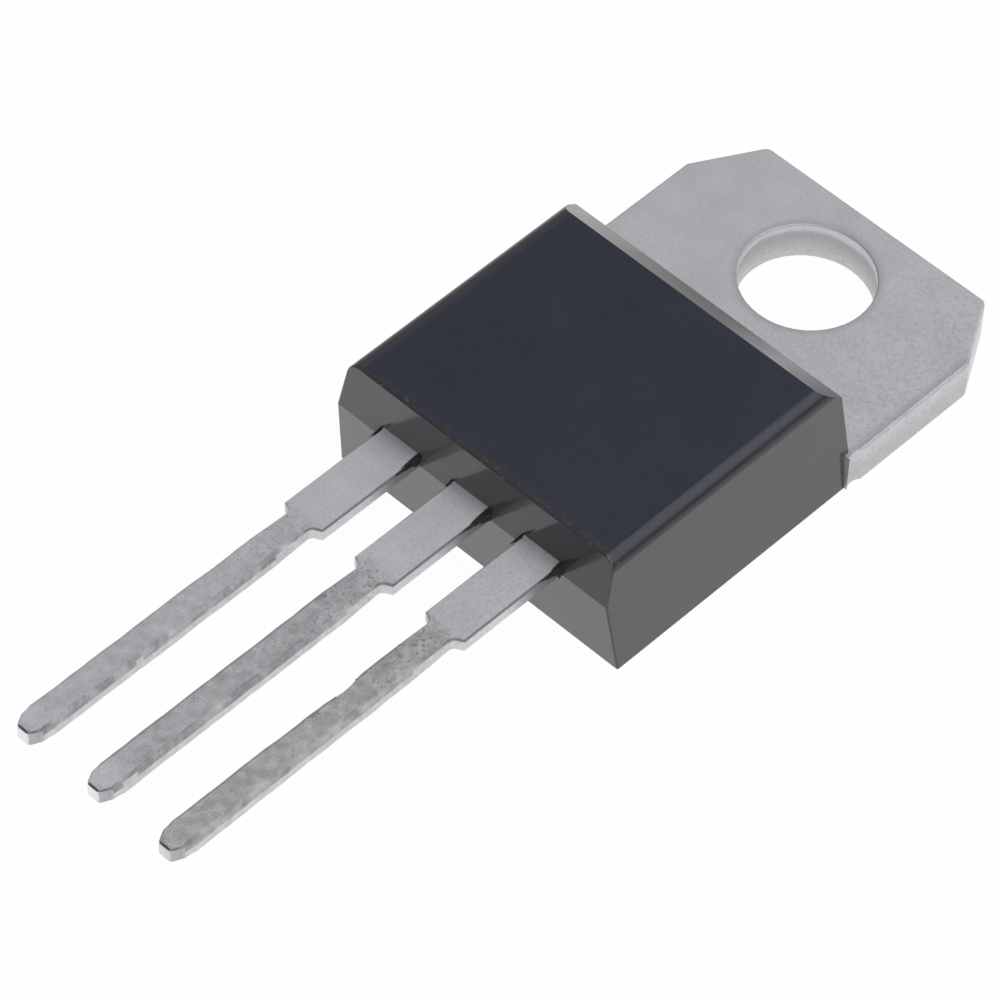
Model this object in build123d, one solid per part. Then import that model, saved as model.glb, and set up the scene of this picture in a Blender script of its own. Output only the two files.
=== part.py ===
"""Thyristor in a through-hole power package with a screw-down metal tab.

A copper strip of two gauges is stamped and bent into the mounting tab, its header and the centre
lead. The silicon die is soldered to the header, two aluminium wires join it to the cathode and
gate leads, and one block of moulding resin holds the lot together.

Frame: the origin is on the axis of the mounting hole, in the plane of the tab's back face. +Z
leaves the back face towards the resin block, +Y runs from the leads to the free end of the tab,
and +X runs along the row of leads from the cathode to the gate. All sizes are in millimetres.
"""

from build123d import *
import os
from math import radians, tan

# --- Mounting tab -------------------------------------------------------------------------------
tab_width = 10.28
tab_thickness = 1.25
hole_to_tab_end = 2.80
hole_diameter = 3.84
hole_rim_radius = 0.04  # rolled edge that the punch leaves on the hole
tab_cut_across = 1.17  # corner cuts at the free end, across the tab and along it
tab_cut_along = 2.04
tab_corner_radius = 0.25
tab_edge_radius = 0.07
notch_radius = 0.40  # shallow round bites in both sides, where the tab leaves the resin
notch_depth = 0.10
notch_to_root = 0.28  # from the root of the tab to the middle of a bite

# --- Header: the part of the tab inside the resin -----------------------------------------------
header_width = 8.55  # as seen from the back
header_lip = 0.25  # the upper part stands out by this and keys into the resin
header_lip_height = 0.45  # from the back face to the underside of the lip
header_corner_radius = 0.5
header_to_front = 2.85  # resin from the end of the header to the parting line
groove_width = 0.5  # coined groove across the header, which keeps damp and flux from the die
groove_depth = 0.18
groove_to_body_end = 0.75

# --- Resin block --------------------------------------------------------------------------------
body_width = 10.10  # at the back face
body_height = 4.15
side_draft = 4.2
hole_to_body = 3.85  # to the end face of the block, at the level of the tab's top
root_setback = 0.15  # the flanks beside the header stop this much short of the end face
end_draft = 8.0
end_chamfer_run = 0.72
end_chamfer_drop = 0.55
hole_to_front = 13.12  # to the parting line, the block's foremost edge
parting_height = 2.65
front_draft_below = 8.0
front_draft_above = 11.5
long_edge_radius = 0.40
corner_radius = 0.05
ejector_diameter = 1.1  # marks of the two ejector pins, on the back near the leads
ejector_depth = 0.06
ejector_spacing = 6.4
ejector_to_front = 1.35

# --- Leads --------------------------------------------------------------------------------------
lead_pitch = 2.54
lead_underside = 2.55  # above the back face
lead_thickness = 0.43
lead_width = 0.81
lead_length = 13.34  # from the parting line to the tip
shoulder_width = 1.39
shoulder_length = 3.53
shoulder_fillet = 0.22
tip_cut_across = 0.20
tip_cut_along = 0.30
lead_edge_break = 0.05  # on every long edge, where the stamping tool and the solder blunt it
gate_mark_length = 0.90  # shallow bite that marks the gate lead, on the side of the anode
gate_mark_depth = 0.09
gate_mark_to_shoulder = 2.80

# --- Ends of the leads inside the resin ---------------------------------------------------------
post_width = 2.50
post_length = 1.20
post_corner_radius = 0.25
post_to_front = 1.30
lock_hole_diameter = 0.55
joggle_angle = 60.0  # the anode lead climbs from the header to the lead plane at this slope
joggle_radius = 0.45  # at mid thickness
joggle_foot = 0.20  # level length between the header and the climb

# --- Die and its solder -------------------------------------------------------------------------
die_side = 3.40
die_thickness = 0.28
die_to_groove = 0.90
moat_width = 0.16  # etched groove filled with glass, round the cathode
moat_depth = 0.07
moat_inset = 0.22
gate_island_side = 0.95
solder_thickness = 0.05
solder_margin = 0.15

# --- Bond wires ---------------------------------------------------------------------------------
cathode_wire_diameter = 0.38
gate_wire_diameter = 0.15
cathode_bond_offset = 0.42  # from the middle of the die, away from the gate both ways
foot_length = 2.6  # each end of a wire is pressed flat: sizes as multiples of its diameter
foot_width = 1.5
foot_thickness = 0.55
wire_lift = 0.62  # height of the wire's middle over what it is bonded to
loop_rise = 0.9  # height of the arc's middle over the bond on the post

# --- Places worked out from the sizes -----------------------------------------------------------
front_y = -hole_to_front
body_end_y = -hole_to_body
root_y = body_end_y - root_setback
header_end_y = front_y + header_to_front
groove_y = body_end_y - groove_to_body_end
die_y = groove_y - groove_width / 2 - die_to_groove - die_side / 2
die_base = tab_thickness + solder_thickness
die_top = die_base + die_thickness
lead_top = lead_underside + lead_thickness
post_y = front_y + post_to_front
tip_y = front_y - lead_length
shoulder_y = front_y - shoulder_length


def mirrored(points):
    """Closes a right-hand half outline, given from the top down, with its own mirror image."""
    return [(-x, y) for x, y in points] + points[::-1]


def mounting_plate():
    """The part of the tab outside the resin, with its cut corners, hole and side bites."""
    half = tab_width / 2
    outline = Polygon(
        *mirrored(
            [
                (half - tab_cut_across, hole_to_tab_end),
                (half, hole_to_tab_end - tab_cut_along),
                (half, root_y),
            ]
        ),
        align=None,
    )
    free_corners = outline.vertices().sort_by(Axis.Y)[2:]
    plate = extrude(fillet(free_corners, tab_corner_radius), tab_thickness)
    upper_edges = plate.faces().sort_by(Axis.Z)[-1].edges().sort_by(Axis.Y)
    plate = fillet(upper_edges[1:], tab_edge_radius)
    plate -= extrude(Circle(hole_diameter / 2), tab_thickness)
    upper_rim = plate.faces().sort_by(Axis.Z)[-1].inner_wires()[0].edges()
    plate = fillet(upper_rim, hole_rim_radius)
    bite = extrude(Circle(notch_radius), tab_thickness)
    for side in (-1, 1):
        plate -= Pos(side * (half + notch_radius - notch_depth), root_y + notch_to_root, 0) * bite
    return plate


def header_layer(width, bottom, top):
    """One layer of the header, rounded at the two corners of its end."""
    plan = Pos(0, (root_y + header_end_y) / 2) * Rectangle(width, root_y - header_end_y)
    plan = fillet(plan.vertices().group_by(Axis.Y)[0], header_corner_radius)
    return Pos(0, 0, bottom) * extrude(plan, top - bottom)


def header():
    """The plate inside the resin: narrow at the back, with a lip along both sides above."""
    block = header_layer(header_width, 0, header_lip_height)
    block += header_layer(header_width + 2 * header_lip, header_lip_height, tab_thickness)
    groove = Polygon(
        (groove_y - groove_width / 2, tab_thickness),
        (groove_y, tab_thickness - groove_depth),
        (groove_y + groove_width / 2, tab_thickness),
        align=None,
    )
    return block - extrude(Plane.YZ * groove, header_width, both=True)


def lead_outline(inner_y):
    """Plan of one lead about its own centre line, from inside the resin to the tip."""
    wide = shoulder_width / 2
    thin = lead_width / 2
    outline = Polygon(
        *mirrored(
            [
                (wide, inner_y),
                (wide, shoulder_y),
                (thin, shoulder_y - (wide - thin) / 2),
                (thin, tip_y + tip_cut_along),
                (thin - tip_cut_across, tip_y),
            ]
        ),
        align=None,
    )
    return fillet(outline.vertices().group_by(Axis.Y)[2], shoulder_fillet)


def lead_blank(inner_y):
    """One straight lead, blunted along every flat edge but those of its inner end."""
    blank = Pos(0, 0, lead_underside) * extrude(lead_outline(inner_y), lead_thickness)
    flat_edges = blank.faces().filter_by(Axis.Z).edges().sort_by(Axis.Y)
    return chamfer(flat_edges[:-2], lead_edge_break)


def bond_post():
    """The wide end of an outer lead, which a wire is bonded to, and its keying hole."""
    pad = Pos(0, post_y + post_length / 2) * RectangleRounded(post_width, post_length, post_corner_radius)
    neck_middle = (front_y + post_y) / 2
    neck = Pos(0, (front_y + post_y + post_corner_radius) / 2) * Rectangle(
        shoulder_width, post_y + post_corner_radius - front_y
    )
    plan = pad + neck - Pos(0, neck_middle) * Circle(lock_hole_diameter / 2)
    return Pos(0, 0, lead_underside) * extrude(plan, lead_thickness)


def outer_lead(x):
    """An outer lead with its bond post."""
    return Pos(x, 0, 0) * (lead_blank(front_y) + bond_post())


def gate_bite():
    """Shallow round bite in the side of the gate lead that faces the anode lead."""
    radius = ((gate_mark_length / 2) ** 2 + gate_mark_depth**2) / (2 * gate_mark_depth)
    edge_x = lead_pitch - lead_width / 2
    middle = Pos(edge_x + gate_mark_depth - radius, shoulder_y - gate_mark_to_shoulder, lead_underside)
    return middle * extrude(Circle(radius), lead_thickness)


def joggle():
    """Thin strip that climbs from the header to the lead plane and ends at the parting line."""
    low = tab_thickness - lead_thickness / 2
    high = lead_underside + lead_thickness / 2
    start = header_end_y + header_corner_radius
    climb_y = header_end_y - joggle_foot - joggle_radius * tan(radians(joggle_angle / 2))
    crest_y = climb_y - (high - low) / tan(radians(joggle_angle))
    path = FilletPolyline(
        (0, start, low),
        (0, climb_y, low),
        (0, crest_y, high),
        (0, front_y, high),
        radius=joggle_radius,
    )
    section = Plane(origin=path @ 0, x_dir=(1, 0, 0), z_dir=path % 0) * Rectangle(
        shoulder_width, lead_thickness
    )
    return sweep(section, path=path)


def mounting_tab():
    """Tab, header and anode lead, which are one piece of copper."""
    return mounting_plate() + header() + joggle() + lead_blank(front_y)


def die_solder():
    """Layer of solder between the header and the die."""
    side = die_side + 2 * solder_margin
    return Pos(0, die_y, tab_thickness) * extrude(
        RectangleRounded(side, side, solder_margin), solder_thickness
    )


def gate_middle():
    """Middle of the gate island: the corner of the die nearest the gate lead."""
    inside = die_side / 2 - moat_inset - moat_width - gate_island_side / 2
    return inside, die_y - inside


def thyristor_die():
    """Silicon die with the glass-filled moats round the cathode and the gate island."""
    die = Pos(0, die_y, die_base) * extrude(Rectangle(die_side, die_side), die_thickness)
    outer = die_side - 2 * moat_inset
    ring = Rectangle(outer, outer) - Rectangle(outer - 2 * moat_width, outer - 2 * moat_width)
    moat = Pos(0, die_y, die_top - moat_depth) * extrude(ring, moat_depth)
    gate_x, gate_y = gate_middle()
    reach = gate_island_side / 2 + moat_width
    corner = Rectangle(2 * reach, 2 * reach) - Rectangle(gate_island_side, gate_island_side)
    return die - moat - Pos(gate_x, gate_y, die_top - moat_depth) * extrude(corner, moat_depth)


def bond_wire(start, end, diameter):
    """A wire arched from the die to a post, pressed flat where it is bonded at both ends."""
    a, b = Vector(*start), Vector(*end)
    along = Vector(b.X - a.X, b.Y - a.Y, 0)
    heel = along.normalized() * (foot_length * diameter / 4)
    lift = Vector(0, 0, wire_lift * diameter)
    crest = Vector((a.X + b.X) / 2, (a.Y + b.Y) / 2, b.Z + loop_rise * diameter) + lift
    path = ThreePointArc(a + heel + lift, crest, b - heel + lift)
    wire = sweep(Plane(origin=path @ 0, z_dir=path % 0) * Circle(diameter / 2), path=path)
    foot = extrude(SlotOverall(foot_length * diameter, foot_width * diameter), foot_thickness * diameter)
    for bond in (a, b):
        wire += Plane(origin=bond, x_dir=along, z_dir=(0, 0, 1)) * foot
    return wire


def cathode_wire():
    """Thick wire from the middle of the cathode metal to the cathode post."""
    start = (-cathode_bond_offset, die_y + cathode_bond_offset, die_top)
    return bond_wire(start, (-lead_pitch, post_y + post_length / 2, lead_top), cathode_wire_diameter)


def gate_wire():
    """Thin wire from the gate island to the gate post."""
    start = (*gate_middle(), die_top)
    return bond_wire(start, (lead_pitch, post_y + post_length / 2, lead_top), gate_wire_diameter)


def resin_block():
    """Outer form of the resin: its side view cut to its drafted front view."""
    foremost_below = front_y + parting_height * tan(radians(front_draft_below))
    foremost_above = front_y + (body_height - parting_height) * tan(radians(front_draft_above))
    chamfer_z = body_height - end_chamfer_drop
    chamfer_y = body_end_y - (chamfer_z - tab_thickness) * tan(radians(end_draft))
    side_view = Polygon(
        (foremost_below, 0),
        (front_y, parting_height),
        (foremost_above, body_height),
        (chamfer_y - end_chamfer_run, body_height),
        (chamfer_y, chamfer_z),
        (body_end_y, tab_thickness),
        (root_y, tab_thickness),
        (root_y, 0),
        align=None,
    )
    half = body_width / 2
    half_top = half - body_height * tan(radians(side_draft))
    front_view = Polygon(*mirrored([(half_top, body_height), (half, 0)]), align=None)
    front_view = fillet(front_view.vertices().group_by(Axis.Y)[-1], long_edge_radius)
    block = extrude(Plane.YZ * side_view, body_width, both=True)
    block &= extrude(Plane.XZ * front_view, 2 * hole_to_front, both=True)
    front_corners = ShapeList()
    for front_face in block.faces().sort_by(Axis.Y)[:2]:
        front_corners += front_face.edges().sort_by(lambda e: abs(e.center().X))[-2:]
    return fillet(front_corners, corner_radius)


def ejector_marks():
    """Two shallow round marks on the back."""
    mark = Cylinder(ejector_diameter / 2, ejector_depth * 2)
    places = Locations(*[(side * ejector_spacing / 2, front_y + ejector_to_front, 0) for side in (-1, 1)])
    return [place * mark for place in places]


def moulded_body(inner_pieces):
    """The resin block, with the room that every piece inside it takes up."""
    return resin_block() - ejector_marks() - inner_pieces


pieces = {
    "mounting_tab": mounting_tab(),
    "cathode_lead": outer_lead(-lead_pitch),
    "gate_lead": outer_lead(lead_pitch) - gate_bite(),
    "die_solder": die_solder(),
    "thyristor_die": thyristor_die(),
    "cathode_wire": cathode_wire(),
    "gate_wire": gate_wire(),
}
pieces["moulded_body"] = moulded_body(list(pieces.values()))

os.makedirs("parts", exist_ok=True)
for name, piece in pieces.items():
    export_step(piece, f"parts/{name}.step")
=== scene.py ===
"""Looks of a thyristor in a three-lead power package with a metal tab.

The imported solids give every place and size. This script takes merged copies of those that show, breaks
their sharp edges, lays the uneven solder on the leads, adds the thin fins of resin that moulding leaves
beside the leads, and gives each surface its finish. Lengths are in metres unless a name ends in _mm.
"""

import math

import bmesh
import bpy
from mathutils import Matrix, Vector, noise


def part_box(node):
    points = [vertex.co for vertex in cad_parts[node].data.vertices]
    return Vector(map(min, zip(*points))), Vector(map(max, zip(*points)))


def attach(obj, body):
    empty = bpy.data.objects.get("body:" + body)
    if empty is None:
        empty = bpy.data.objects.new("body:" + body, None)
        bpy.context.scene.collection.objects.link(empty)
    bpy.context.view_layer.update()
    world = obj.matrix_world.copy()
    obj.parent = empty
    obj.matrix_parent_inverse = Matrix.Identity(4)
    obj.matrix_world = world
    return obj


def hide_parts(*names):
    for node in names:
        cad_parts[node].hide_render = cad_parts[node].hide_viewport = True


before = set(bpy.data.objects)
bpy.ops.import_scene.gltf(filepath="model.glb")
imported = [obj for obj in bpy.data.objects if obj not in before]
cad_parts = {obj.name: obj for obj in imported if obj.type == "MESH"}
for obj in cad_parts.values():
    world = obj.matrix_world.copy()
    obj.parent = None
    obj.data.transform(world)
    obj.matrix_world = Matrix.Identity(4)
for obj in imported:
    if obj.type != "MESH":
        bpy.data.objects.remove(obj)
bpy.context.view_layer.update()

MM = 0.001
MERGE = 0.0005 * MM

# --- Places read from the frame -----------------------------------------------------------------
body_low, body_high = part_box("moulded_body")
lead_low, lead_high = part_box("gate_lead")
front_y = body_low.y
lead_bottom = lead_low.z
lead_top = lead_high.z
tip_y = lead_low.y
lead_middle_z = (lead_bottom + lead_top) / 2
lead_half_thickness = (lead_top - lead_bottom) / 2

# --- Sizes of the solids, which the frame's boxes don't give ------------------------------------
lead_pitch = 2.54 * MM
lead_width = 0.81 * MM
lead_edge_break = 0.05 * MM
shoulder_width = 1.39 * MM
shoulder_length = 3.53 * MM
shoulder_y = front_y - shoulder_length
neck_y = shoulder_y - (shoulder_width - lead_width) / 2
bite_y = shoulder_y - 2.80 * MM
bite_half_length = 0.45 * MM
top_edge_y = front_y + 0.30 * MM
hole_radius = 1.92 * MM
tab_half_width = 5.14 * MM
tab_thickness = 1.25 * MM

# --- Sizes of wear, solder and flash ------------------------------------------------------------
narrow_face = 0.12 * MM
block_edge_break = 0.008 * MM
rim_chip = 0.035 * MM
rim_drop = 0.015 * MM
rim_cuts = 110
slice_length = 0.12 * MM
strip_width = 0.11 * MM
coat_run = 1.2 * MM
coat_left = 0.035 * MM
coat_right = 0.030 * MM
coat_under = 0.045 * MM
coat_past_tip = 0.07 * MM
bite_shift = 0.40 * MM
fin_cuts = 9

# --- Camera and lamps ---------------------------------------------------------------------------
CAMERA_AZIMUTH = 41.942
CAMERA_ELEVATION = 50.063
CAMERA_ROLL = 2.756
CAMERA_DISTANCE = 159.285 * MM
CAMERA_TARGET = Vector((-1.051, -10.807, 0.0)) * MM
CAMERA_LENS = 217.15
LAMP_DISTANCE = 0.5


def place_camera():
    """Long lens above the gate side of the leads, looking along them towards the tab."""
    azimuth, elevation, roll = map(math.radians, (CAMERA_AZIMUTH, CAMERA_ELEVATION, CAMERA_ROLL))
    back = Vector(
        (
            math.sin(azimuth) * math.cos(elevation),
            -math.cos(azimuth) * math.cos(elevation),
            math.sin(elevation),
        )
    )
    right = Vector((math.cos(azimuth), math.sin(azimuth), 0))
    up = back.cross(right)
    turned_right = right * math.cos(roll) + up * math.sin(roll)
    turned_up = up * math.cos(roll) - right * math.sin(roll)
    camera = bpy.data.objects.new("camera", bpy.data.cameras.new("camera"))
    camera.data.lens = CAMERA_LENS
    camera.data.clip_start = 0.01
    axes = Matrix((turned_right, turned_up, back)).transposed().to_4x4()
    camera.matrix_world = Matrix.Translation(CAMERA_TARGET + back * CAMERA_DISTANCE) @ axes
    bpy.context.scene.collection.objects.link(camera)
    bpy.context.scene.camera = camera


# --- Materials ----------------------------------------------------------------------------------
def linear(colour):
    """A colour written as sRGB hex, as the linear colour that shaders take."""
    values = [int(colour[i : i + 2], 16) / 255 for i in (0, 2, 4)]
    return (*[v / 12.92 if v <= 0.04045 else ((v + 0.055) / 1.055) ** 2.4 for v in values], 1.0)


def add(tree, kind, inputs=(), **settings):
    """Adds a node with its settings and links.

    inputs gives the sockets in order, or by name or number. Each is a value, an output to link, or a node,
    of which the first output in use is linked.
    """
    made = tree.nodes.new("ShaderNode" + kind)
    for name, value in settings.items():
        setattr(made, name, value)
    for socket, value in inputs.items() if isinstance(inputs, dict) else enumerate(inputs):
        if isinstance(value, bpy.types.Node):
            value = next(output for output in value.outputs if output.enabled)
        if isinstance(value, bpy.types.NodeSocket):
            tree.links.new(value, made.inputs[socket])
        else:
            made.inputs[socket].default_value = value
    return made


def new_material(name):
    """An empty material: its tree, and its Object coordinates."""
    material = bpy.data.materials.new(name)
    material.use_nodes = True
    material.node_tree.nodes.clear()
    tree = material.node_tree
    return material, tree, add(tree, "TexCoord").outputs["Object"]


def moulded_top(name):
    """Filled epoxy moulding compound against a smooth mould insert: almost black with a navy cast."""
    material, tree, place = new_material(name)
    axes = add(tree, "SeparateXYZ", (place,)).outputs
    grain = add(
        tree, "TexNoise", {"Vector": place, "Scale": 1 / (0.10 * MM), "Detail": 3.0, "Roughness": 0.6}
    )
    cloud = add(tree, "TexNoise", {"Vector": place, "Scale": 1 / (1.6 * MM), "Detail": 3.0})
    tone = add(tree, "MapRange", (cloud, 0.3, 0.7))
    colour = add(tree, "Mix", {0: tone, 6: linear("12172D"), 7: linear("161B31")}, data_type="RGBA")
    grainy = add(tree, "MapRange", (grain, 0.55, 0.72, 0.0, 0.6))
    colour = add(tree, "Mix", {0: grainy, 6: colour, 7: linear("2A2E42")}, data_type="RGBA")
    # The long edges have lost their navy cast, and the one on the cathode side is rubbed to brown-grey.
    gate_edge = add(tree, "MapRange", (axes["X"], 4.56 * MM, 4.76 * MM, 0.0, 0.85))
    colour = add(tree, "Mix", {0: gate_edge, 6: colour, 7: linear("1B1C1F")}, data_type="RGBA")
    cathode_edge = add(tree, "MapRange", (axes["X"], -4.58 * MM, -4.24 * MM, 0.9, 0.0))
    colour = add(tree, "Mix", {0: cathode_edge, 6: colour, 7: linear("474543")}, data_type="RGBA")
    colour = scuffed_front_edge(tree, place, axes["Y"], colour)
    gloss = add(tree, "MapRange", (cloud, 0.3, 0.7, 0.31, 0.37))
    bump = add(tree, "Bump", {"Height": grain, "Strength": 1.0, "Distance": 0.0016 * MM})
    shader = add(
        tree,
        "BsdfPrincipled",
        {"Base Color": colour, "Roughness": gloss, "IOR": 1.6, "Normal": bump},
    )
    add(tree, "OutputMaterial", (shader,))
    return material


def scuffed_front_edge(tree, place, along, colour):
    """Scuffs the skin to brown-grey along the front edge, where its pale filler shows in a few specks."""
    edge = add(tree, "MapRange", (along, top_edge_y + 0.10 * MM, top_edge_y + 0.40 * MM, 1.0, 0.0))
    smear = add(tree, "TexNoise", {"Vector": place, "Scale": 1 / (0.5 * MM), "Detail": 5.0, "Roughness": 0.7})
    brown = add(tree, "MapRange", (smear, 0.40, 0.60))
    brown = add(tree, "Math", (edge, brown), operation="MULTIPLY")
    colour = add(tree, "Mix", {0: brown, 6: colour, 7: linear("2E2C2E")}, data_type="RGBA")
    rim = add(tree, "MapRange", (along, top_edge_y + 0.06 * MM, top_edge_y + 0.20 * MM, 1.0, 0.0))
    dark = add(tree, "MapRange", (smear, 0.35, 0.55))
    dark = add(tree, "Math", (rim, dark), operation="MULTIPLY")
    colour = add(tree, "Mix", {0: dark, 6: colour, 7: linear("242221")}, data_type="RGBA")
    specks = add(
        tree, "TexNoise", {"Vector": place, "Scale": 1 / (0.13 * MM), "Detail": 3.0, "Roughness": 0.6}
    )
    pale = add(tree, "MapRange", (specks, 0.58, 0.66))
    pale = add(tree, "Math", (edge, pale), operation="MULTIPLY")
    return add(tree, "Mix", {0: pale, 6: colour, 7: linear("454446")}, data_type="RGBA")


def moulded_wall(name):
    """The same compound against the polished mould walls: glossier, so it mirrors what stands near.

    Painted light makes it greyest on the cathode side, and painted shade makes it darkest on the gate side.
    """
    material, tree, place = new_material(name)
    axes = add(tree, "SeparateXYZ", (place,)).outputs
    grain = add(
        tree, "TexNoise", {"Vector": place, "Scale": 1 / (0.14 * MM), "Detail": 4.0, "Roughness": 0.6}
    )
    cloud = add(tree, "TexNoise", {"Vector": place, "Scale": 1 / (2.2 * MM), "Detail": 3.0})
    # Painted light and shade: a gradient across the block from pale grey on the cathode side to dark on the
    # gate side, made uneven by the clouds.
    drift = add(tree, "MapRange", (cloud, 0.3, 0.7, -0.8 * MM, 0.8 * MM))
    drifting = add(tree, "Math", (axes["X"], drift), operation="ADD")
    tone = add(tree, "MapRange", (drifting, -4.5 * MM, 5.2 * MM))
    colour = add(tree, "Mix", {0: tone, 6: linear("575659"), 7: linear("2C2B2E")}, data_type="RGBA")
    gloss = add(tree, "MapRange", (grain, 0.3, 0.7, 0.09, 0.13))
    bump = add(tree, "Bump", {"Height": grain, "Strength": 1.0, "Distance": 0.0002 * MM})
    shader = add(
        tree,
        "BsdfPrincipled",
        {"Base Color": colour, "Roughness": gloss, "IOR": 1.6, "Normal": bump},
    )
    add(tree, "OutputMaterial", (shader,))
    return material


def moulded_chamfer(name):
    """The sloping face over the tab: a painted reflection makes it pale towards its ends, and it is still
    dark along its middle.
    """
    material, tree, place = new_material(name)
    axes = add(tree, "SeparateXYZ", (place,)).outputs
    cloud = add(tree, "TexNoise", {"Vector": place, "Scale": 1 / (0.7 * MM), "Detail": 4.0})
    drift = add(tree, "MapRange", (cloud, 0.3, 0.7, -0.25 * MM, 0.25 * MM))
    drifting = add(tree, "Math", (axes["X"], drift), operation="ADD")
    # Painted reflection: pale grey towards both ends of the sloping face.
    left = add(tree, "MapRange", (drifting, -4.4 * MM, -2.1 * MM, 1.0, 0.0))
    rise = add(tree, "MapRange", (drifting, 1.3 * MM, 2.9 * MM, 0.0, 0.9))
    fall = add(tree, "MapRange", (drifting, 3.1 * MM, 4.5 * MM, 0.9, 0.0))
    right = add(tree, "Math", (rise, fall), operation="MINIMUM")
    painted_reflection = add(tree, "Math", (left, right), operation="MAXIMUM")
    colour = add(tree, "Mix", {0: painted_reflection, 6: linear("242325"), 7: linear("8A898C")}, data_type="RGBA")
    grain = add(tree, "TexNoise", {"Vector": place, "Scale": 1 / (0.10 * MM), "Detail": 3.0})
    bump = add(tree, "Bump", {"Height": grain, "Strength": 1.0, "Distance": 0.0010 * MM})
    shader = add(
        tree,
        "BsdfPrincipled",
        {"Base Color": colour, "Roughness": 0.22, "IOR": 1.6, "Normal": bump},
    )
    add(tree, "OutputMaterial", (shader,))
    return material


def resin_flash(name):
    """Thin torn flash of the same compound: matt and nearly black."""
    material, tree, place = new_material(name)
    grain = add(tree, "TexNoise", {"Vector": place, "Scale": 1 / (0.08 * MM), "Detail": 3.0})
    tone = add(tree, "MapRange", (grain, 0.4, 0.65))
    colour = add(tree, "Mix", {0: tone, 6: linear("0C0C0D"), 7: linear("242324")}, data_type="RGBA")
    bump = add(tree, "Bump", {"Height": grain, "Strength": 1.0, "Distance": 0.01 * MM})
    shader = add(
        tree,
        "BsdfPrincipled",
        {"Base Color": colour, "Roughness": 0.55, "IOR": 1.5, "Normal": bump},
    )
    add(tree, "OutputMaterial", (shader,))
    return material


def tin_over_copper(name, lead_edge_shade_colour=None):
    """Matte electroplated tin, and beyond the necks of the leads a dipped coat of duller, mottled solder.

    With a colour for the painted shade of the edge it is the edge that the punch rolls over, darkened by that
    painted shade.
    """
    material, tree, place = new_material(name)
    axes = add(tree, "SeparateXYZ", (place,)).outputs
    grain = add(
        tree, "TexNoise", {"Vector": place, "Scale": 1 / (0.07 * MM), "Detail": 3.0, "Roughness": 0.6}
    )
    patches = add(
        tree, "TexNoise", {"Vector": place, "Scale": 1 / (1.3 * MM), "Detail": 5.0, "Roughness": 0.6}
    )
    pits = add(tree, "TexNoise", {"Vector": place, "Scale": 1 / (0.13 * MM), "Detail": 3.0, "Roughness": 0.7})
    mottle = add(
        tree, "TexNoise", {"Vector": place, "Scale": 1 / (0.26 * MM), "Detail": 5.0, "Roughness": 0.7}
    )
    low_side = add(tree, "MapRange", (axes["Z"], lead_top - 0.05 * MM, lead_top - 0.01 * MM, 1.0, 0.0))

    plate = plated_tin(tree, axes, grain, patches, pits)
    plate = punched_tab(tree, axes, patches, pits, plate)
    plate = stained_sides(tree, axes["Y"], low_side, plate)
    solder = dipped_solder(tree, axes, mottle, pits, low_side)
    drift = add(tree, "MapRange", (patches, 0.2, 0.8, -0.5 * MM, 0.5 * MM))
    dip_line = add(tree, "Math", (axes["Y"], drift), operation="ADD")
    dipped = add(tree, "MapRange", (dip_line, neck_y - 0.1 * MM, neck_y + 0.4 * MM, 1.0, 0.0))
    colour = add(tree, "Mix", {0: dipped, 6: plate, 7: solder}, data_type="RGBA")
    # Painted shade on the rolled edges, when a colour for it is given.
    if lead_edge_shade_colour:
        colour = paint_lead_edge_shade(tree, place, axes["Y"], colour, lead_edge_shade_colour)

    gloss = add(tree, "MapRange", (grain, 0.3, 0.7, 0.50, 0.58))
    shine = add(tree, "MapRange", (axes["Y"], tip_y + 0.02 * MM, tip_y + 0.20 * MM, 0.22, 0.0))
    gloss = add(tree, "Math", (gloss, shine), operation="SUBTRACT")
    depth = add(tree, "MapRange", (dipped, 0.0, 1.0, 0.3, 1.0))
    rough = add(tree, "Math", (grain, mottle), operation="ADD")
    relief = add(tree, "Math", (rough, depth), operation="MULTIPLY")
    bump = add(tree, "Bump", {"Height": relief, "Strength": 1.0, "Distance": 0.008 * MM})
    shader = add(
        tree,
        "BsdfPrincipled",
        {"Base Color": colour, "Metallic": 1.0, "Roughness": gloss, "Normal": bump},
    )
    add(tree, "OutputMaterial", (shader,))
    return material


def plated_tin(tree, axes, grain, patches, pits):
    """Colour of the plating: fine grain, faint clouds, and dull pits that crowd towards the gate side."""
    cloudy = add(tree, "MapRange", (patches, 0.35, 0.68))
    plate = add(tree, "Mix", {0: cloudy, 6: linear("E0E0E3"), 7: linear("D6D6DA")}, data_type="RGBA")
    grainy = add(tree, "MapRange", (grain, 0.48, 0.75, 0.0, 0.6))
    plate = add(tree, "Mix", {0: grainy, 6: plate, 7: linear("C2C2C6")}, data_type="RGBA")
    crowd = add(tree, "MapRange", (axes["X"], -2.5 * MM, 4.5 * MM, 0.05, 0.45))
    pitted = add(tree, "MapRange", (pits, 0.45, 0.75))
    pitted = add(tree, "Math", (crowd, pitted), operation="MULTIPLY")
    return add(tree, "Mix", {0: pitted, 6: plate, 7: linear("A2A2A8")}, data_type="RGBA")


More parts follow.
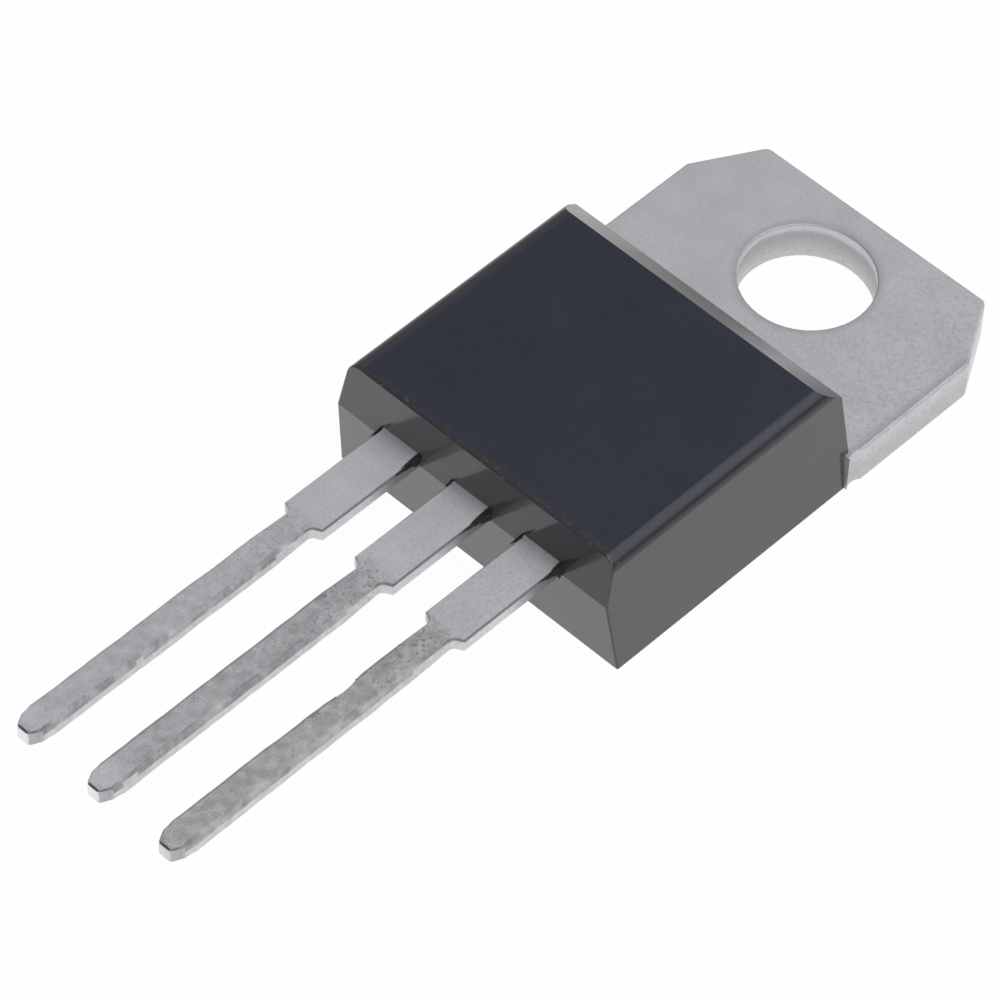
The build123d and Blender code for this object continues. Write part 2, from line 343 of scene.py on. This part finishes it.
def punched_tab(tree, axes, patches, pits, plate):
    """What the punch leaves on the tab: dull sheared sides and a two-toned hole, with a darker ring round the
    hole and painted shade along the gate-side edge.
    """
    # The sheared sides are duller below than above.
    outward = add(tree, "Math", (axes["X"],), operation="ABSOLUTE")
    sheared = add(tree, "MapRange", (outward, tab_half_width - 0.14 * MM, tab_half_width - 0.12 * MM))
    lower = add(tree, "MapRange", (axes["Z"], 0.55 * MM, 0.95 * MM, 0.45, 0.20))
    side = add(tree, "MapRange", (axes["Z"], tab_thickness - 0.08 * MM, tab_thickness - 0.03 * MM, 1.0, 0.0))
    dull = add(tree, "Math", (lower, side), operation="MINIMUM")
    dull = add(tree, "Math", (sheared, dull), operation="MULTIPLY")
    plate = add(tree, "Mix", {0: dull, 6: plate, 7: linear("A4A3A3")}, data_type="RGBA")
    # The wall of the hole is burnished above and torn dull below.
    flat_place = add(tree, "CombineXYZ", (axes["X"], axes["Y"]))
    radius = add(tree, "VectorMath", (flat_place,), operation="LENGTH")
    wall = add(tree, "MapRange", (radius, hole_radius + 0.01 * MM, hole_radius + 0.03 * MM, 1.0, 0.0))
    swing = add(tree, "MapRange", (patches, 0.2, 0.8, -0.12 * MM, 0.12 * MM))
    ragged = add(tree, "Math", (axes["Z"], swing), operation="ADD")
    torn = add(tree, "MapRange", (ragged, 0.92 * MM, 1.06 * MM, 1.0, 0.0))
    depth = add(tree, "MapRange", (ragged, 0.15 * MM, 0.75 * MM))
    torn_tone = add(tree, "Mix", {0: depth, 6: linear("CACACC"), 7: linear("B2B2B5")}, data_type="RGBA")
    pitted = add(tree, "MapRange", (pits, 0.45, 0.70, 0.0, 0.5))
    torn_tone = add(tree, "Mix", {0: pitted, 6: torn_tone, 7: linear("A8A8AB")}, data_type="RGBA")
    hole = add(tree, "Mix", {0: torn, 6: linear("D2D2D6"), 7: torn_tone}, data_type="RGBA")
    plate = add(tree, "Mix", {0: wall, 6: plate, 7: hole}, data_type="RGBA")
    # A ring round the hole is darker, and painted shade of the rolled edge darkens a margin along the gate
    # side.
    ring = add(tree, "MapRange", (radius, hole_radius + 0.05 * MM, hole_radius + 0.24 * MM, 0.4, 0.0))
    margin_from, margin_to = tab_half_width - 0.32 * MM, tab_half_width - 0.12 * MM
    # Painted shade: the rolled edge along the gate side, darkened in colour.
    painted_gate_edge_shade = add(tree, "MapRange", (axes["X"], margin_from, margin_to, 0.0, 0.45))
    darker_ring_and_shaded_margin = add(tree, "Math", (ring, painted_gate_edge_shade), operation="MAXIMUM")
    on_face = add(tree, "MapRange", (axes["Z"], tab_thickness - 0.09 * MM, tab_thickness - 0.01 * MM))
    darker_ring_and_shaded_margin = add(tree, "Math", (darker_ring_and_shaded_margin, on_face), operation="MULTIPLY")
    return add(tree, "Mix", {0: darker_ring_and_shaded_margin, 6: plate, 7: linear("A6A6AA")}, data_type="RGBA")


def stained_sides(tree, along, low_side, plate):
    """Stains the sides of the leads with resin near the block."""
    near_block = add(tree, "MapRange", (along, front_y - 1.9 * MM, front_y - 0.9 * MM, 0.0, 0.95))
    outside = add(tree, "MapRange", (along, front_y + 0.2 * MM, front_y + 0.4 * MM, 1.0, 0.0))
    stained = add(tree, "Math", (near_block, outside), operation="MINIMUM")
    stained = add(tree, "Math", (stained, low_side), operation="MINIMUM")
    return add(tree, "Mix", {0: stained, 6: plate, 7: linear("9A9A9C")}, data_type="RGBA")


def dipped_solder(tree, axes, mottle, pits, low_side):
    """Colour of the dipped coat: mottled, with pits that crowd towards the necks."""
    across, along = axes["X"], axes["Y"]
    tone = add(tree, "MapRange", (mottle, 0.38, 0.62))
    solder = add(tree, "Mix", {0: tone, 6: linear("B8B8BA"), 7: linear("DCDCDE")}, data_type="RGBA")
    crowd = add(tree, "MapRange", (along, tip_y + 3.0 * MM, neck_y, 0.40, 1.0))
    pitted = add(tree, "MapRange", (pits, 0.48, 0.64))
    pitted = add(tree, "Math", (crowd, pitted), operation="MULTIPLY")
    solder = add(tree, "Mix", {0: pitted, 6: solder, 7: linear("9C9C9E")}, data_type="RGBA")
    # The tops of the cathode lead and of the first two tips are cleaner.
    clean = add(tree, "MapRange", (across, -2.6 * MM, 0.6 * MM, 0.42, 0.0))
    at_end = add(tree, "MapRange", (along, tip_y + 0.5 * MM, tip_y + 1.5 * MM, 1.0, 0.0))
    first_two = add(tree, "MapRange", (across, 0.8 * MM, 1.8 * MM, 0.75, 0.0))
    bright_tip = add(tree, "Math", (at_end, first_two), operation="MULTIPLY")
    clean = add(tree, "Math", (clean, bright_tip), operation="MAXIMUM")
    clean = add(tree, "Math", (clean, low_side), operation="SUBTRACT", use_clamp=True)
    solder = add(tree, "Mix", {0: clean, 6: solder, 7: linear("E2E3E9")}, data_type="RGBA")
    # The cropped corners of the tips are darker and the sheared ends paler, and painted light makes the sides
    # and undersides paler.
    behind = add(tree, "MapRange", (along, tip_y - 0.05 * MM, tip_y - 0.01 * MM))
    before = add(tree, "MapRange", (along, tip_y + 0.22 * MM, tip_y + 0.36 * MM, 1.0, 0.0))
    cropped = add(tree, "Math", (behind, before), operation="MINIMUM")
    cropped = add(tree, "Math", (cropped, low_side), operation="MINIMUM")
    solder = add(tree, "Mix", {0: cropped, 6: solder, 7: linear("8A8A8C")}, data_type="RGBA")
    # Painted light: the sides and undersides of the coat are made paler than its top.
    painted_side_light = add(tree, "Math", (low_side, 0.35), operation="MULTIPLY")
    solder = add(tree, "Mix", {0: painted_side_light, 6: solder, 7: linear("E6E6E8")}, data_type="RGBA")
    sheared_end = add(tree, "MapRange", (along, tip_y - 0.055 * MM, tip_y - 0.03 * MM, 0.8, 0.0))
    sheared_end = add(tree, "Math", (sheared_end, first_two), operation="MINIMUM")
    return add(tree, "Mix", {0: sheared_end, 6: solder, 7: linear("EEEEF0")}, data_type="RGBA")


def paint_lead_edge_shade(tree, place, along, colour, lead_edge_shade_colour):
    """Painted shade on the rolled edge: dark beside the shoulders and at the tips, and broken into streaks
    between them.
    """
    streaks = add(
        tree, "TexNoise", {"Vector": place, "Scale": 1 / (0.8 * MM), "Detail": 4.0, "Roughness": 0.7}
    )
    broken = add(tree, "MapRange", (streaks, 0.42, 0.60, 0.35, 0.75))
    at_shoulder = add(tree, "MapRange", (along, neck_y - 0.2 * MM, neck_y, 0.0, 0.9))
    at_tip = add(tree, "MapRange", (along, tip_y + 0.12 * MM, tip_y + 0.45 * MM, 1.0, 0.0))
    ends = add(tree, "Math", (at_shoulder, at_tip), operation="MAXIMUM")
    dark = add(tree, "Math", (ends, broken), operation="MAXIMUM")
    return add(tree, "Mix", {0: dark, 6: colour, 7: linear(lead_edge_shade_colour)}, data_type="RGBA")


def plain_metal(name, light, dark, roughness, grain_mm):
    """A metal inside the resin, with a little grain."""
    material, tree, place = new_material(name)
    grain = add(tree, "TexNoise", {"Vector": place, "Scale": 1 / (grain_mm * MM), "Detail": 3.0})
    colour = add(tree, "Mix", {0: grain, 6: linear(light), 7: linear(dark)}, data_type="RGBA")
    bump = add(tree, "Bump", {"Height": grain, "Strength": 1.0, "Distance": 0.002 * MM})
    shader = add(
        tree,
        "BsdfPrincipled",
        {"Base Color": colour, "Metallic": 1.0, "Roughness": roughness, "Normal": bump},
    )
    add(tree, "OutputMaterial", (shader,))
    return material


def polished_silicon(name):
    """Die: mirror-polished silicon, dark blue-grey, with a faint cloud of lapping haze."""
    material, tree, place = new_material(name)
    haze = add(tree, "TexNoise", {"Vector": place, "Scale": 1 / (0.5 * MM), "Detail": 2.0})
    colour = add(tree, "Mix", {0: haze, 6: linear("3A3D44"), 7: linear("4A4D55")}, data_type="RGBA")
    gloss = add(tree, "MapRange", (haze, 0.3, 0.7, 0.12, 0.20))
    shader = add(tree, "BsdfPrincipled", {"Base Color": colour, "Roughness": gloss, "IOR": 2.2})
    add(tree, "OutputMaterial", (shader,))
    return material


# --- Meshes -------------------------------------------------------------------------------------
def merged_copy(node):
    """A mesh of the node's shape whose triangles are joined and whose flat faces are whole."""
    mesh = bmesh.new()
    mesh.from_mesh(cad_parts[node].data)
    bmesh.ops.remove_doubles(mesh, verts=mesh.verts, dist=MERGE)
    bmesh.ops.dissolve_limit(mesh, angle_limit=math.radians(0.5), verts=mesh.verts, edges=mesh.edges)
    return mesh


def finish_piece(mesh, name, materials, replaced=(), crease=30.0):
    """Turns a bmesh into a piece: narrow faces blend up to a crease angle, and wide ones stay flat."""
    for face in mesh.faces:
        face.smooth = 2 * face.calc_area() / face.calc_perimeter() < narrow_face
    for edge in mesh.edges:
        edge.smooth = not edge.is_manifold or edge.calc_face_angle() < math.radians(crease)
    data = bpy.data.meshes.new(name)
    mesh.to_mesh(data)
    mesh.free()
    piece = bpy.data.objects.new(name, data)
    bpy.context.scene.collection.objects.link(piece)
    for material in materials:
        data.materials.append(material)
    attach(piece, "root")
    if replaced:
        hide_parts(*replaced)
    return piece


def on_front_rim(vert):
    """Whether a vertex of the block lies on the top edge of its front face."""
    return vert.co.z > body_high.z - MERGE and vert.co.y < front_y + 1.0 * MM


def break_block_edges(mesh):
    """Takes the sharpness off the block's outer edges, apart from the top one of its front face."""
    outer = set()
    for face in mesh.faces:
        normal, middle = face.normal, face.calc_center_median()
        if all((v.co - middle).dot(normal) < 0.002 * MM for v in mesh.verts):
            outer.add(face)
    sharp = [
        edge
        for edge in mesh.edges
        if edge.is_manifold
        and all(face in outer for face in edge.link_faces)
        and edge.calc_face_angle() > math.radians(16)
        and edge.calc_length() > 0.3 * MM
        and not all(on_front_rim(v) for v in edge.verts)
    ]
    bmesh.ops.bevel(
        mesh,
        geom=sharp,
        offset=block_edge_break,
        affect="EDGES",
        segments=2,
        profile=0.5,
        material=-1,
        clamp_overlap=True,
    )


def chip_front_rim(mesh):
    """Chips the top edge of the front face unevenly."""
    rim = [edge for edge in mesh.edges if all(on_front_rim(v) for v in edge.verts)]
    bmesh.ops.subdivide_edges(mesh, edges=rim, cuts=rim_cuts)
    for vert in mesh.verts:
        if on_front_rim(vert):
            across_mm = vert.co.x / MM
            chip = noise.noise(Vector((across_mm * 5, 3.0, 0.0)))
            chip += noise.noise(Vector((across_mm * 1.6, 8.0, 0.0)))
            vert.co.y += rim_chip * chip
            vert.co.z -= rim_drop * abs(chip)


def resin_block(top, walls, chamfer):
    """The moulded block with its sharp outer edges broken, and each kind of face in its own finish."""
    mesh = merged_copy("moulded_body")
    break_block_edges(mesh)
    for face in mesh.faces:
        normal = face.normal
        if 0.4 < normal.y < 0.8 and normal.z > 0.5:
            face.material_index = 2
        elif normal.z > 0.12 and normal.y > -0.9 and face.calc_center_median().z > body_high.z - 0.45 * MM:
            face.material_index = 0
        else:
            face.material_index = 1
    chip_front_rim(mesh)
    return finish_piece(mesh, "resin_block", [top, walls, chamfer], ["moulded_body"])


def outside_part(mesh, middle_x):
    """Faces, edges and vertices of one lead that lie outside the resin, at least in part."""
    reach = shoulder_width / 2 + 0.05 * MM
    faces = [
        face
        for face in mesh.faces
        if min(v.co.y for v in face.verts) < front_y - MERGE
        and all(abs(v.co.x - middle_x) < reach for v in face.verts if v.co.y < front_y - MERGE)
    ]
    edges = {edge for face in faces for edge in face.edges}
    verts = {vert for face in faces for vert in face.verts}
    return [*faces, *edges, *verts]


def slice_lead(mesh, middle_x):
    """Cuts one lead outside the resin into short lengths and narrow strips, so that its coat can swell."""
    count = int((front_y - tip_y) / slice_length)
    cuts = [((0, front_y - i * slice_length, 0), (0, 1, 0)) for i in range(count)]
    cuts += [((middle_x + i * strip_width, 0, 0), (1, 0, 0)) for i in (-2, -1, 0, 1, 2)]
    cuts += [((0, 0, lead_middle_z), (0, 0, 1))]
    for place, normal in cuts:
        geometry = outside_part(mesh, middle_x)
        bmesh.ops.bisect_plane(mesh, geom=geometry, dist=MERGE, plane_co=place, plane_no=normal)


def lay_solder(mesh, middle_x, seed):
    """Blunts the edges and swells the coat unevenly from the neck to the tip, as dipped solder sets."""
    slice_lead(mesh, middle_x)
    near = [v for v in mesh.verts if v.co.y < front_y - 0.3 * MM and abs(v.co.x - middle_x) < shoulder_width]
    half = lead_width / 2
    for vert in near:
        across, height = vert.co.x - middle_x, vert.co.z - lead_middle_z
        along_mm, across_mm = vert.co.y / MM, across / MM
        side = math.copysign(1.0, across)
        level = height / lead_half_thickness
        coat = min(max((neck_y - vert.co.y) / coat_run, 0.0), 1.0)
        wear = noise.noise(Vector((along_mm * 1.7, seed + 5.3 * side, 9.0)))
        swell = noise.noise(Vector((along_mm * 0.8, seed + 3.1 * side, 0.0)))
        ripple = noise.noise(Vector((along_mm * 2.9, seed + 7.7 * side, 4.0)))
        lump = noise.noise(Vector((along_mm * 1.3, across_mm * 1.5, seed + 11.0)))
        # The sides move out, and the edge on the right is blunted on both of its faces.
        if abs(across) > half - 0.02 * MM:
            vert.co.x += side * coat * (coat_left if side < 0 else -coat_right * level)
            if level > 0.6 and side > 0:
                vert.co.z -= coat * (0.035 + 0.030 * wear) * MM
        elif level > 0.98 and across > half - lead_edge_break - 0.02 * MM:
            vert.co.x -= side * coat * (0.070 + 0.040 * wear) * MM
        if level < -0.6:
            vert.co.z -= coat * coat_under
        # The whole coat swells and sinks along the lead, and is thickest at the tip.
        vert.co.x += side * min(abs(across) / half, 1.0) * coat * (0.024 * swell + 0.010 * ripple) * MM
        end = min(max((tip_y + 1.6 * MM - vert.co.y) / (1.6 * MM), 0.0), 1.0)
        vert.co.z += level * coat * (0.006 + 0.008 * lump + 0.022 * end) * MM
    round_tip([v for v in near if v.co.y < tip_y + 0.50 * MM], mesh)


def round_tip(tip, mesh):
    """Rounds the tip of a lead and lets its coat reach a little past the bare metal's end."""
    for _ in range(4):
        bmesh.ops.smooth_vert(mesh, verts=tip, factor=0.5, use_axis_x=True, use_axis_y=True, use_axis_z=False)
    reach = min(v.co.y for v in tip) - tip_y + coat_past_tip
    for vert in tip:
        vert.co.y -= reach * min(max((tip_y + 0.35 * MM - vert.co.y) / (0.30 * MM), 0.0), 1.0)


def mark_rolled_edges(mesh):
    """Gives the sloping facets between the top and the right sides of the leads the second material, which
    paints shade on them.
    """
    for face in mesh.faces:
        normal, along = face.normal, face.calc_center_median().y
        at_tip = normal.y < -0.2 and along < tip_y + 1.0 * MM
        if along < front_y + MERGE and 0.15 < normal.z < 0.95 and (at_tip or normal.x > 0.2):
            face.material_index = 1


def settle_bite(mesh):
    """Rounds the bite in the gate lead's side as the coat does, and sets it a little nearer to the tip."""
    for vert in mesh.verts:
        past = bite_y - vert.co.y
        if abs(vert.co.x - lead_pitch) > lead_width or abs(past) > 3.5 * MM:
            continue
        near_side = min(max((lead_pitch - vert.co.x) / (0.15 * MM) - 1.0, 0.0), 1.0)
        beyond = max(abs(past) - bite_half_length, 0.0)
        fade = max(1.0 - beyond / (0.35 * MM), 0.0)
        rounding = 0.03 * MM * min(abs(past) / bite_half_length, 1.0) ** 4 * fade**2
        # Past the bite the side stands a little further in, and comes out again towards the tip.
        step = 0.04 * MM * min(max(past / bite_half_length, 0.0), 1.0)
        step *= min((3.5 * MM - past) / (2.5 * MM), 1.0)
        coat = coat_left if abs(past) < 0.40 * MM and vert.co.z < lead_top - 0.01 * MM else 0.0
        vert.co.x += near_side * (rounding + step - coat)
        vert.co.y -= bite_shift * min(max((2.0 * MM - abs(past)) / (1.4 * MM), 0.0), 1.0)


def soldered_lead(node, name, middle_x, seed, metal, rolled):
    """An outer lead under its coat."""
    mesh = merged_copy(node)
    lay_solder(mesh, middle_x, seed)
    mark_rolled_edges(mesh)
    if node == "gate_lead":
        settle_bite(mesh)
    return finish_piece(mesh, name, [metal, rolled], [node])


def tab_and_anode_lead(metal, rolled):
    """Tab, header and middle lead. Only the lead is cut up, and the plate keeps its flat faces whole."""
    mesh = merged_copy("mounting_tab")
    lay_solder(mesh, 0.0, 5.0)
    mark_rolled_edges(mesh)
    return finish_piece(mesh, "tab_and_anode_lead", [metal, rolled], ["mounting_tab"])


def fin(mesh, x_range, length, z_range, seed):
    """A torn fin of resin that leaves the front face and tapers along a lead.

    A fin that lies in an earlier one's place tears that one too.
    """
    made = bmesh.ops.create_cube(mesh, size=1.0)["verts"]
    low = Vector((x_range[0], front_y - length, z_range[0]))
    high = Vector((x_range[1], front_y + 0.10 * MM, z_range[1]))
    for vert in made:
        vert.co = Vector([(a + b) / 2 + (b - a) * c for a, b, c in zip(low, high, vert.co)])
    edges = {edge for vert in made for edge in vert.link_edges}
    bmesh.ops.subdivide_edges(mesh, edges=list(edges), cuts=fin_cuts, use_grid_fill=True)
    middle_x = (low.x + high.x) / 2
    for vert in mesh.verts:
        if not all(a - MERGE <= c <= b + MERGE for a, b, c in zip(low, high, vert.co)):
            continue
        share = min(max((front_y - vert.co.y) / length, 0.0), 1.0)
        along_mm = vert.co.y / MM
        tear = noise.noise(Vector((vert.co.x / MM * 9, vert.co.z / MM * 7, seed)))
        rag = noise.noise(Vector((seed, along_mm * 6, 2.0)))
        rag += 0.5 * noise.noise(Vector((seed, along_mm * 15, 5.0)))
        thickness = 1.0 - 0.75 * share**1.5
        vert.co.x = middle_x + (vert.co.x - middle_x) * thickness + 0.012 * MM * tear
        vert.co.z = high.z - (high.z - vert.co.z) * (1.0 - 0.92 * share**0.6) * (1.0 + 0.9 * rag)
        vert.co.y += 0.30 * MM * tear * share


def flash_beside_leads(flash):
    """Fins of resin on both sides of each lead where it leaves the block, larger on the gate side."""
    mesh = bmesh.new()
    half = shoulder_width / 2
    top = lead_top + 0.01 * MM
    # Each lead's place, the lengths of its left and right fins in mm, and a seed.
    fins = ((-1, 0.34, 0.80, 1.3), (0, 0.12, 1.00, 2.6), (1, 0.40, 0.70, 4.9))
    for place, left_mm, right_mm, seed in fins:
        left_x = place * lead_pitch - half
        right_x = place * lead_pitch + half
        left_range = (left_x - 0.05 * MM, left_x + 0.02 * MM)
        fin(mesh, left_range, left_mm * MM, (lead_middle_z, top), seed)
        right_range = (right_x - 0.02 * MM, right_x + 0.03 * MM)
        fin(mesh, right_range, right_mm * MM, (lead_bottom + 0.08 * MM, top), seed + 0.5)
        # A third one lies over the top edge.
        over_range = (right_x - 0.11 * MM, right_x + 0.03 * MM)
        over_heights = (lead_top - 0.04 * MM, lead_top + 0.025 * MM)
        fin(mesh, over_range, 0.60 * right_mm * MM, over_heights, seed + 0.9)
    bmesh.ops.recalc_face_normals(mesh, faces=mesh.faces)
    return finish_piece(mesh, "resin_flash", [flash], ())


# --- Stage --------------------------------------------------------------------------------------
def floor():
    """White table top, which shows white to the camera and in reflections and keeps a soft shadow."""
    mesh = bmesh.new()
    bmesh.ops.create_circle(mesh, cap_ends=True, segments=96, radius=0.8)
    data = bpy.data.meshes.new("floor")
    mesh.to_mesh(data)
    mesh.free()
    data.transform(Matrix.Translation((0, 0, -0.01 * MM)))
    piece = bpy.data.objects.new("floor", data)
    bpy.context.scene.collection.objects.link(piece)
    material = bpy.data.materials.new("white_table")
    material.use_nodes = True
    tree = material.node_tree
    tree.nodes.clear()
    rays = add(tree, "LightPath").outputs
    seen = add(tree, "Math", (rays["Is Camera Ray"], rays["Is Glossy Ray"]), operation="MAXIMUM")
    seen = add(tree, "Math", (seen, rays["Is Transmission Ray"]), operation="MAXIMUM")
    share = add(tree, "Math", (seen, 0.97), operation="MULTIPLY")
    paint = add(tree, "BsdfDiffuse", {"Color": linear("F4F4F4")})
    glow = add(tree, "Emission", {"Color": (1, 1, 1, 1), "Strength": 1.0})
    both = add(tree, "MixShader", (share, paint, glow))
    add(tree, "OutputMaterial", (both,))
    data.materials.append(material)


def lamp(name, direction, size, power):
    """A square soft lamp that hangs in a direction from the object and points at it."""
    data = bpy.data.lights.new(name, "AREA")
    data.shape = "SQUARE"
    data.size = size
    data.energy = power
    thing = bpy.data.objects.new(name, data)
    towards = Vector(direction).normalized()
    thing.location = CAMERA_TARGET + towards * LAMP_DISTANCE
    thing.rotation_euler = towards.to_track_quat("Z", "Y").to_euler()
    bpy.context.scene.collection.objects.link(thing)


def sky(low, high):
    """Room light, dimmer near the horizon than overhead."""
    world = bpy.data.worlds.new("room")
    bpy.context.scene.world = world
    world.use_nodes = True
    tree = world.node_tree
    tree.nodes.clear()
    upward = add(tree, "SeparateXYZ", (add(tree, "TexCoord").outputs["Generated"],)).outputs["Z"]
    level = add(tree, "MapRange", (upward, 0.15, 0.75, low, high))
    background = add(tree, "Background", {"Color": (0.97, 0.98, 1.0, 1), "Strength": level})
    add(tree, "OutputWorld", (background,))


bpy.context.scene.view_settings.view_transform = "Standard"
place_camera()
floor()
sky(0.26, 0.37)
lamp("overhead_box", (0.38, 0.36, 0.85), 0.65, 1.45)
lamp("front_box", (0.60, -0.60, 0.50), 0.60, 0.9)

top_finish = moulded_top("epoxy_moulding_compound_top")
wall_finish = moulded_wall("epoxy_walls_with_painted_light_and_shade")
chamfer_finish = moulded_chamfer("epoxy_chamfer_with_painted_reflection")
flash_finish = resin_flash("epoxy_flash")
tin = tin_over_copper("tin_and_solder_over_copper")
# Painted shade: the tin darkened on the rolled edges of the leads.
rolled_edge = tin_over_copper("tin_with_painted_edge_shade", "7E7E82")
aluminium = plain_metal("drawn_aluminium", "D6D6D8", "C8C8CA", 0.30, 0.05)
inner = {
    "die_solder": plain_metal("soft_solder", "8E8E90", "7C7C7E", 0.50, 0.12),
    "thyristor_die": polished_silicon("polished_silicon"),
    "cathode_wire": aluminium,
    "gate_wire": aluminium,
}
for node_name, finish in inner.items():
    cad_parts[node_name].data.materials.clear()
    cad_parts[node_name].data.materials.append(finish)

resin_block(top_finish, wall_finish, chamfer_finish)
tab_and_anode_lead(tin, rolled_edge)
soldered_lead("cathode_lead", "soldered_cathode_lead", -lead_pitch, 1.0, tin, rolled_edge)
soldered_lead("gate_lead", "soldered_gate_lead", lead_pitch, 9.0, tin, rolled_edge)
flash_beside_leads(flash_finish)
